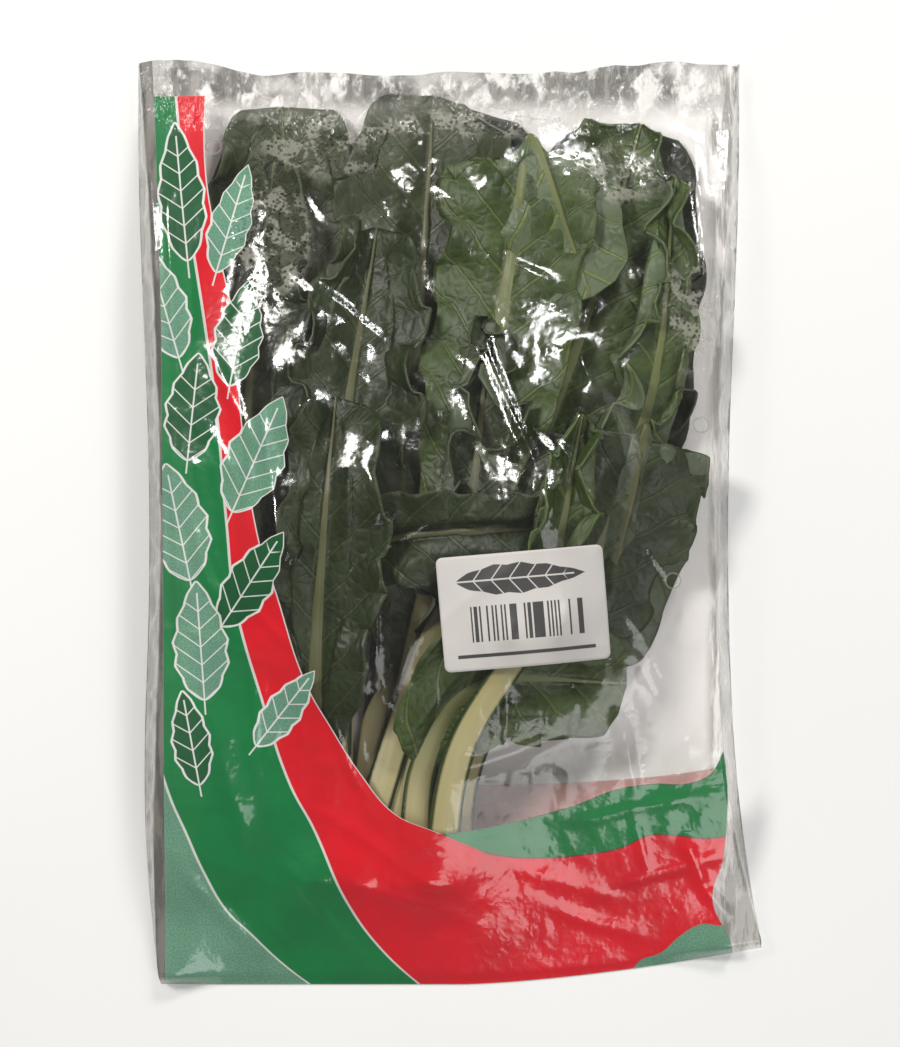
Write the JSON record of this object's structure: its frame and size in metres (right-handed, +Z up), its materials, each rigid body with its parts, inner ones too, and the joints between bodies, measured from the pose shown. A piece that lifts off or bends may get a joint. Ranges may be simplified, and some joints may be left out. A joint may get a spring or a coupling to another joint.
{
  "type": "bagged swiss chard bunch",
  "caption": "Bunch of swiss chard leaves with their stalks, lying in a clear film produce bag printed with plain coloured bands and simple leaf shapes, with a small paper label.",
  "frame": {"origin": "centre of the bag's footprint, on the surface that its back panel lies on", "axes": "+X to the bag's right seen from above, +Y from the cut stalks to the leaf tips and the bag's mouth, +Z up out of the front panel"},
  "size_m": [0.221, 0.328, 0.0611],
  "materials": {
    "leaf": "dark green leaf with paler veins, slightly waxy; the stalk pale green to cream",
    "film": "clear thin polypropylene film, glossy and creased, with an opaque printed band",
    "label": "white coated paper, satin"
  },
  "bodies": {
    "root": {"leaf_back_left": "leaf", "leaf_back_right": "leaf", "leaf_back_centre": "leaf", "leaf_outer_right": "leaf", "leaf_outer_left": "leaf", "leaf_heart": "leaf", "leaf_mouth_left": "leaf", "leaf_mouth_right": "leaf", "leaf_mouth_centre": "leaf", "leaf_curled_right": "leaf", "leaf_folded_right": "leaf", "leaf_folded_front": "leaf", "leaf_folded_top": "leaf", "leaf_tall_left": "leaf", "leaf_long_centre": "leaf", "leaf_ruffled": "leaf", "leaf_crossing": "leaf", "leaf_low_front": "leaf", "leaf_small_right": "leaf", "leaf_low_left": "leaf", "film_bag": "film", "price_label": "label"}
  },
  "joints": []
}
